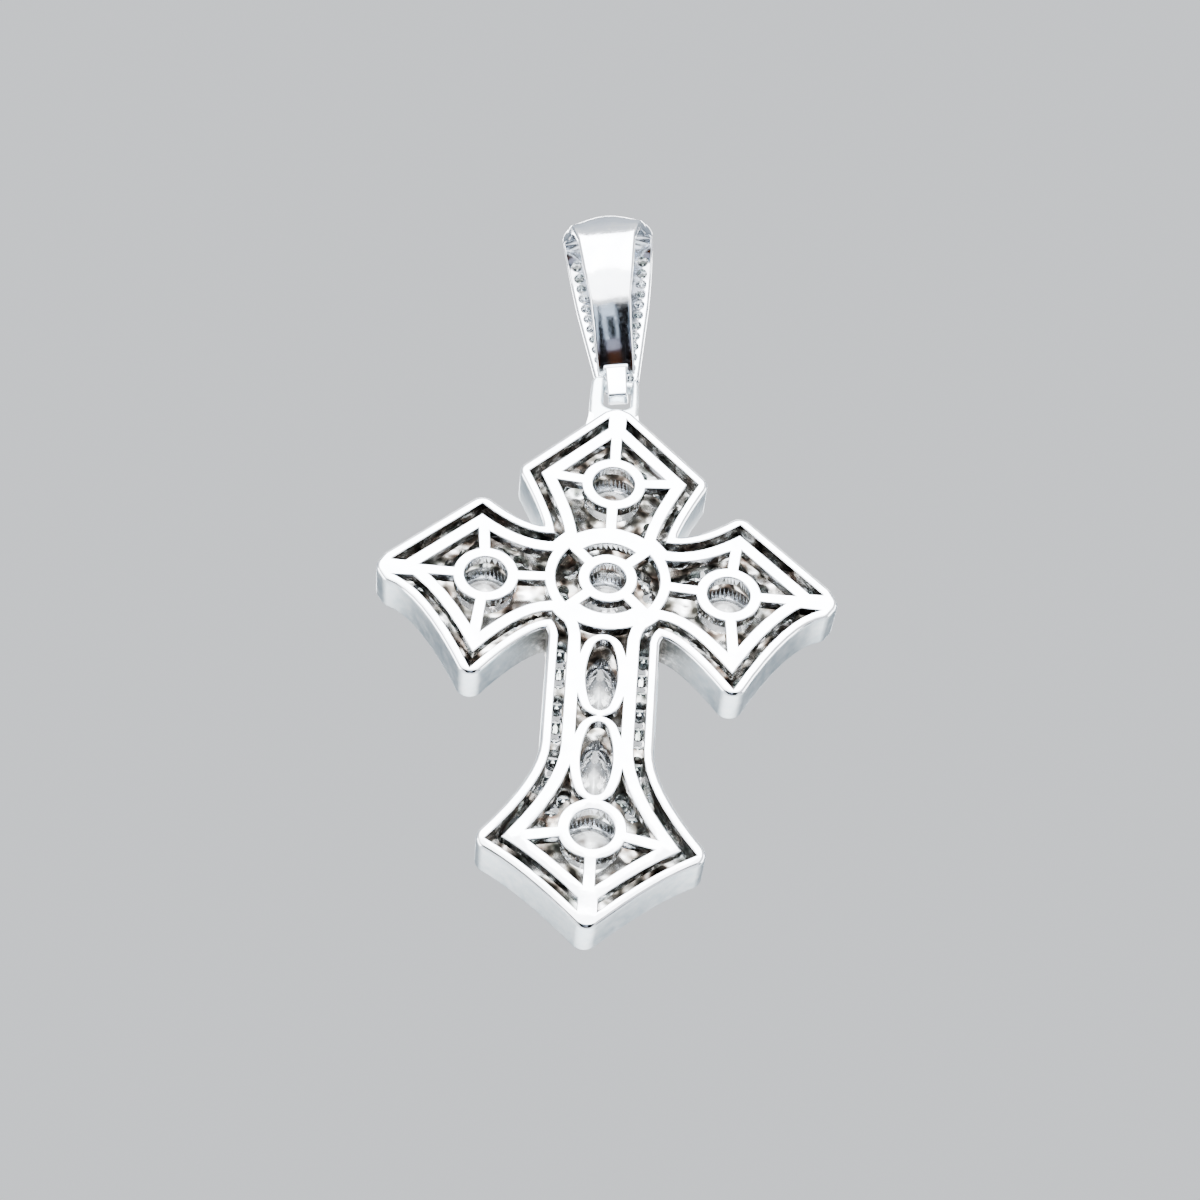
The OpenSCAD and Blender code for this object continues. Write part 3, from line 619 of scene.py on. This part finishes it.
def smallStones(node, depth):
    # Middle of the girdle and axis of each small stone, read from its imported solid. Its largest facet is the
    # table.
    shape = bmesh.new()
    shape.from_mesh(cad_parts[node].data)
    bmesh.ops.remove_doubles(shape, verts=shape.verts, dist=weld["stones"])
    sameFacet = 0.999
    seen, stones = set(), []
    for first in shape.verts:
        if first.index in seen:
            continue
        corners, waiting = [], [first]
        seen.add(first.index)
        while waiting:
            corner = waiting.pop()
            corners.append(corner)
            for other in [edge.other_vert(corner) for edge in corner.link_edges]:
                if other.index not in seen:
                    seen.add(other.index)
                    waiting.append(other)
        facets = {}
        for face in sorted({f for corner in corners for f in corner.link_faces}, key=lambda f: f.index):
            normal = next((n for n in facets if n.dot(face.normal) > sameFacet), face.normal.copy().freeze())
            facets[normal] = facets.get(normal, 0) + face.calc_area()
        axis = max(facets, key=facets.get).copy()
        point = min((corner.co for corner in corners), key=axis.dot)
        stones.append((point + axis * depth, axis))
    shape.free()
    return stones


def pierceStrip(piece):
    side = bail["ringWidth"] / 2 * mm + bail["legCut"] / 2
    along = Matrix.Rotation(math.pi / 2, 4, "Y")
    holes = []
    for x in (-side, side):
        holes.append(rod(bail["legClear"], bail["legCut"], inBail @ Matrix.Translation((x, 0, 0)) @ along))
    for middle, axis in bailStones:
        turn = axis.to_track_quat("Z", "Y").to_matrix().to_4x4()
        place = Matrix.Translation(middle - axis * bail["holeBelow"] * mm) @ turn
        holes.append(rod(bail["holeRadius"], bail["holeLength"], place, bail["holeSides"]))
    return cutAway(piece, holes)


def ringMesh():
    # Side outline with its hole, [toward the back, upward], then widened near the strip
    radius, soft, (low, high) = bail["ringRadius"], bail["ringSoft"], bail["ringBack"]
    turns = [math.tau * k / bail["ringSides"] for k in range(bail["ringSides"])]
    circle = [(math.cos(t), math.sin(t)) for t in turns]
    spots = [(radius * x, radius * y) for x, y in circle]
    for cx, cy in ((radius - soft, low + soft), (soft, low + soft), (radius - soft, high - soft)):
        spots += [(cx + soft * x, cy + soft * y) for x, y in circle]
    outline = [spots[i] for i in convex_hull_2d(spots)]
    hole = [(bail["ringHole"] * x, bail["ringHole"] * y) for x, y in circle]
    toSide = Matrix.Rotation(math.pi / 2, 4, "Y")
    mesh = flatForm("ring", [outline, hole], bail["ringWidth"] * mm, bail["ringEdge"], toSide)
    for vertex in mesh.vertices:
        share = min(1, max(0, (vertex.co.y / mm - bail["widerFrom"]) / bail["widerOver"]))
        vertex.co.x *= 1 + share * bail["ringWider"] / (bail["ringWidth"] / 2)
    mesh.transform(inBail)
    return mesh


bailStones = smallStones("bail_stones", bail["stoneDepth"])
finishPiece(pierceStrip(buildStrip()), "hanger", bail["stripSharp"], "bail")
finishPiece(newPiece("bailRing", joinMeshes("bailRing", [ringMesh()])), "hanger", bail["ringSharp"])

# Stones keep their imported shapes
smallZirconia = {"bail_stones": bailZirconia, "pave_stones": crossZirconia}
for name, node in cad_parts.items():
    if name not in ("bail", "cross_case"):
        node.data.materials.clear()
        node.data.materials.append(smallZirconia.get(name, largeZirconia))


# Beads and claws are both forms set on points
def pointTree(name, sizes):
    # A node group that takes points, the named sizes and the metal
    tree = bpy.data.node_groups.new(name, "GeometryNodeTree")
    sockets = [("Points", "INPUT", "Geometry"), *[(size, "INPUT", "Float") for size in sizes],
               ("Metal", "INPUT", "Material"), ("Pieces", "OUTPUT", "Geometry")]
    for socket, way, kind in sockets:
        tree.interface.new_socket(socket, in_out=way, socket_type="NodeSocket" + kind)
    return tree, addNode(tree, "NodeGroupInput").outputs


def putOnPoints(tree, given, form, turn):
    # The form on every point, made real, smooth and of the given metal
    planted = addNode(tree, "GeometryNodeInstanceOnPoints", {"Rotation": turn}, {
        "Points": given["Points"], "Instance": form})
    real = addNode(tree, "GeometryNodeRealizeInstances", links={"Geometry": planted})
    soft = addNode(tree, "GeometryNodeSetShadeSmooth", links={0: real})
    dressed = addNode(tree, "GeometryNodeSetMaterial", links={"Geometry": soft, "Material": given["Metal"]})
    addNode(tree, "NodeGroupOutput", links={"Pieces": dressed})


def growOnPoints(name, points, tree, sizes, body):
    piece = newPiece(name, newMesh(name, points, []))
    modifier = piece.modifiers.new(tree.name, "NODES")
    modifier.node_group = tree
    sockets = {item.name: item.identifier for item in tree.interface.items_tree}
    for size, value in sizes.items():
        modifier[sockets[size]] = value
    modifier[sockets["Metal"]] = plate
    bakeModifiers(piece)
    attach(piece, body)


# Beads raised from the metal hold the small stones, two between each pair of neighbours
crossSetting = {
    "depth": 0.516 * mm,        # from a stone's point up to its girdle
    "near": 1.78 * mm,          # stones no further apart than this are neighbours
    "reach": 0.42 * mm, "rise": 0.02 * mm,   # a bead's place beside and above the middle of the pair
    "clear": 0.7 * mm, "apart": 0.3 * mm,    # least distance from a stone's middle and from another bead
    "bead": 0.2 * mm,
}
bailSetting = {"near": 1.35 * mm, "reach": 0.3 * mm, "rise": 0.02 * mm, "clear": 0.52 * mm, "apart": 0.3 * mm,
               "bead": 0.15 * mm}


def beadPlaces(stones, setting):
    # Two points beside the middle of each pair, left out where another stone or bead is too close
    found = []
    for i, (one, axisOne) in enumerate(stones):
        for two, axisTwo in stones[i + 1:]:
            if (two - one).length > setting["near"]:
                continue
            axis = (axisOne + axisTwo).normalized()
            across = axis.cross(two - one).normalized()
            for side in (-1, 1):
                spot = (one + two) / 2 + across * side * setting["reach"]
                free = all((spot - other).length > setting["clear"] for other, _ in stones)
                if free and all((spot - bead).length > setting["apart"] for bead in found):
                    found.append(spot + axis * setting["rise"])
    return found


def beadTree():
    tree, given = pointTree("beads on points", ["Bead radius"])
    ball = addNode(tree, "GeometryNodeMeshIcoSphere", {"Subdivisions": 2}, {"Radius": given["Bead radius"]})
    putOnPoints(tree, given, ball, (0, 0, 0))
    return tree


beadNodes = beadTree()
crossStones = smallStones("pave_stones", crossSetting["depth"])
crossBeads = beadPlaces(crossStones, crossSetting)
growOnPoints("crossBeads", crossBeads, beadNodes, {"Bead radius": crossSetting["bead"]}, "cross")
bailBeads = beadPlaces(bailStones, bailSetting)
growOnPoints("bailBeads", bailBeads, beadNodes, {"Bead radius": bailSetting["bead"]}, "hanger")
print("beads set:", len(crossBeads), "and", len(bailBeads), "for", len(crossStones), "and", len(bailStones),
      "stones")

# Claws at the main stones: a short stem and a rounded tip at each point, standing to the front. Plain lengths
# are in millimetres from the medallion's centre, [along X, up].
claws = {
    "lobeRings": [(0, 8.49), (8.57, -0.55), (-8.57, -0.55), (0, -20.57)], "lobeReach": 2.2,
    "centreReach": 2.08, "marquises": [-8.25, -15.05], "marquiseSpots": [(0.98, 1.5), (0, 2.9)],
    "foot": 2.9, "length": 0.72 * mm, "radius": 0.2 * mm, "tip": 0.25 * mm,
    "sides": 14, "tipRings": 9, "tipHeight": 0.75,
}


def clawTree():
    tree, given = pointTree("claws on points", ["Claw radius", "Tip radius", "Claw length"])
    stem = addNode(tree, "GeometryNodeMeshCylinder", {"Vertices": claws["sides"], "Side Segments": 1}, {
        "Radius": given["Claw radius"], "Depth": given["Claw length"]})
    half = addNode(tree, "ShaderNodeMath", {1: 0.5}, {0: given["Claw length"]}, operation="MULTIPLY")
    lift = addNode(tree, "ShaderNodeCombineXYZ", links={"Z": half})
    raised = addNode(tree, "GeometryNodeTransform", links={"Geometry": stem, "Translation": lift})
    ball = addNode(tree, "GeometryNodeMeshUVSphere", {"Segments": claws["sides"], "Rings": claws["tipRings"]},
                   {"Radius": given["Tip radius"]})
    top = addNode(tree, "ShaderNodeCombineXYZ", links={"Z": given["Claw length"]})
    tip = addNode(tree, "GeometryNodeTransform", {"Scale": (1, 1, claws["tipHeight"])}, {
        "Geometry": ball, "Translation": top})
    both = addNode(tree, "GeometryNodeJoinGeometry", links={"Geometry": raised})
    feed(tree, both, {"Geometry": tip})
    putOnPoints(tree, given, both, (math.pi / 2, 0, 0))
    return tree


def clawPoints():
    spots = []
    for ring in claws["lobeRings"]:
        spots += [(ring[0] + claws["lobeReach"] * x, ring[1] + claws["lobeReach"] * z)
                  for x, z in ((1, 0), (-1, 0), (0, 1), (0, -1))]
    diagonal = claws["centreReach"] * math.sqrt(0.5)
    spots += [(diagonal * x, diagonal * z) for x in (-1, 1) for z in (-1, 1)]
    for height in claws["marquises"]:
        for x, z in claws["marquiseSpots"]:
            spots += [(x * a, height + z * b) for a in ((-1, 1) if x else (1,)) for b in (-1, 1)]
    return [inCross @ Vector((x * mm, z * mm, claws["foot"] * mm)) for x, z in spots]


growOnPoints("stoneClaws", clawPoints(), clawTree(), {
    "Claw radius": claws["radius"], "Tip radius": claws["tip"], "Claw length": claws["length"]}, "cross")
print("claws set")

# Studio: a white tent behind the camera, dark low down around the lens, and a wall in front of it that is
# bright low down and dim from the middle up. Lengths are in metres.
studio = {
    "floorZ": -0.42, "floorSize": 1.4, "floorColour": "#F2F3F5",
    "boardBehind": 0.015,
    "boards": [  # name, colour, left, low, right, high
        ("blackFeltLeft", "#020203", -0.14, -0.24, -0.03, 0.13),
        ("blackFeltRight", "#020203", 0.03, -0.24, 0.14, 0.13),
        ("brownCard", "#2C1406", -0.03, -0.24, 0.03, -0.075),
        ("greyCard", "#7C7C88", -0.03, -0.075, 0.03, -0.03),
        ("blackCard", "#060908", -0.022, -0.03, 0.012, 0.07),
        ("paleCardLeft", "#A9B6C4", -0.03, -0.03, -0.022, 0.13),
        ("paleCardRight", "#A9B6C4", 0.012, -0.03, 0.03, 0.13),
        ("paleCardTop", "#A9B6C4", -0.022, 0.07, 0.012, 0.13),
    ],
    "panels": [  # place, size, power in watts, whether it shows in the metal
        ((0.05, 0.40, 0.34), (0.50, 0.30), 8.0, True),
        ((0.40, 0.14, -0.06), (0.22, 0.35), 2.2, True),
        ((-0.42, 0.10, 0.02), (0.22, 0.35), 1.8, True),
        ((0.0, -0.40, 0.34), (0.4, 0.3), 5.0, True),
        ((0.03, 0.45, 0.075), (0.50, 0.24), 3.0, True),
        ((0.03, 0.20, -0.11), (0.12, 0.12), 2.6, False),
        ((0.0, -0.33, -0.36), (0.70, 0.40), 2.4, True),
    ],
    # Colours from straight down to straight up, behind the camera and beyond the pendant
    "tent": [(0.0, "#C9CFD6"), (0.1, "#9AA2AB"), (0.15, "#1B1E22"), (0.25, "#23272C"), (0.3, "#8C949D"),
             (0.36, "#FFFFFF"), (0.85, "#FFFFFF"), (1.0, "#C4CBD3")],
    "wall": [(0.0, "#C9CFD6"), (0.22, "#F4F8FC"), (0.41, "#FFFFFF"), (0.48, "#8D959E"), (0.6, "#454C54"),
             (0.72, "#767F89"), (1.0, "#C4CBD3")],
    "seam": (-0.06, 0.02),      # where the wall ends and the tent begins, toward the camera
    "patchSize": 0.5, "patchShift": 0.3,   # patches that raise and lower both, so that no line is straight
    "backdrop": "#BFC2C6", "strength": 1.8,
}


def stageBoard(name, corners, material, shows=True):
    mesh = newMesh(name, corners, [(0, 1, 2, 3)])
    mesh.materials.append(material)
    board = newPiece(name, mesh)
    board.visible_camera = shows
    board.visible_shadow = shows


paint = newMaterial("pale painted board", {"Base Color": linear(studio["floorColour"]), "Roughness": 0.7})[0]
reach, ground = studio["floorSize"] / 2, studio["floorZ"]
square = [(x * reach, y * reach, ground) for x, y in ((-1, -1), (1, -1), (1, 1), (-1, 1))]
stageBoard("floor", square, paint)

# Boards around the lens, as a photographer holds them, unseen by the camera itself
behind = cameraObject.matrix_world @ Matrix.Translation((0, 0, studio["boardBehind"]))
for name, colour, left, low, right, high in studio["boards"]:
    corners = [(left, low, 0), (right, low, 0), (right, high, 0), (left, high, 0)]
    dull = newMaterial(name, {"Base Color": linear(colour), "Roughness": 1.0, "Specular IOR Level": 0.0})[0]
    stageBoard(name, [behind @ Vector(corner) for corner in corners], dull, shows=False)

aim = Vector(places["cross"])
for number, (place, size, power, shows) in enumerate(studio["panels"]):
    panel = bpy.data.lights.new(f"panel{number}", "AREA")
    panel.shape, panel.size, panel.size_y, panel.energy = "RECTANGLE", size[0], size[1], power
    lamp = bpy.data.objects.new(f"panel{number}", panel)
    lamp.location = place
    lamp.visible_glossy = shows
    lamp.rotation_euler = (aim - Vector(place)).to_track_quat("-Z", "Y").to_euler()
    bpy.context.collection.objects.link(lamp)

world = bpy.data.worlds.new("studio")
bpy.context.scene.world = world
world.use_nodes = True
sky = world.node_tree
sky.nodes.clear()
direction = addNode(sky, "ShaderNodeTexCoord").outputs["Generated"]
parts = addNode(sky, "ShaderNodeSeparateXYZ", links={"Vector": direction}).outputs
patches = addNode(sky, "ShaderNodeTexNoise", {"Scale": 1 / studio["patchSize"], "Detail": 2.0},
                  {"Vector": direction})
shift = addNode(sky, "ShaderNodeMapRange", {"To Min": -studio["patchShift"], "To Max": studio["patchShift"]},
                {"Value": patches})
uneven = addNode(sky, "ShaderNodeMath", links={0: parts["Z"], 1: shift}, operation="ADD")
height = addNode(sky, "ShaderNodeMapRange", {"From Min": -1.0, "From Max": 1.0}, {"Value": uneven})
tent = addNode(sky, "ShaderNodeValToRGB", links={"Fac": height}, stops=studio["tent"])
wall = addNode(sky, "ShaderNodeValToRGB", links={"Fac": height}, stops=studio["wall"])
side = addNode(sky, "ShaderNodeMapRange", {"From Min": studio["seam"][0], "From Max": studio["seam"][1]},
               {"Value": parts["Y"]})
around = addNode(sky, "ShaderNodeMix", links={0: side, 6: wall, 7: tent}, data_type="RGBA").outputs[2]
seen = addNode(sky, "ShaderNodeLightPath").outputs["Is Camera Ray"]
shade = addNode(sky, "ShaderNodeMix", {7: linear(studio["backdrop"])}, {0: seen, 6: around}, data_type="RGBA")
glow = addNode(sky, "ShaderNodeBackground", {"Strength": studio["strength"]}, {"Color": shade.outputs[2]})
addNode(sky, "ShaderNodeOutputWorld", links={"Surface": glow})
print("studio lit")
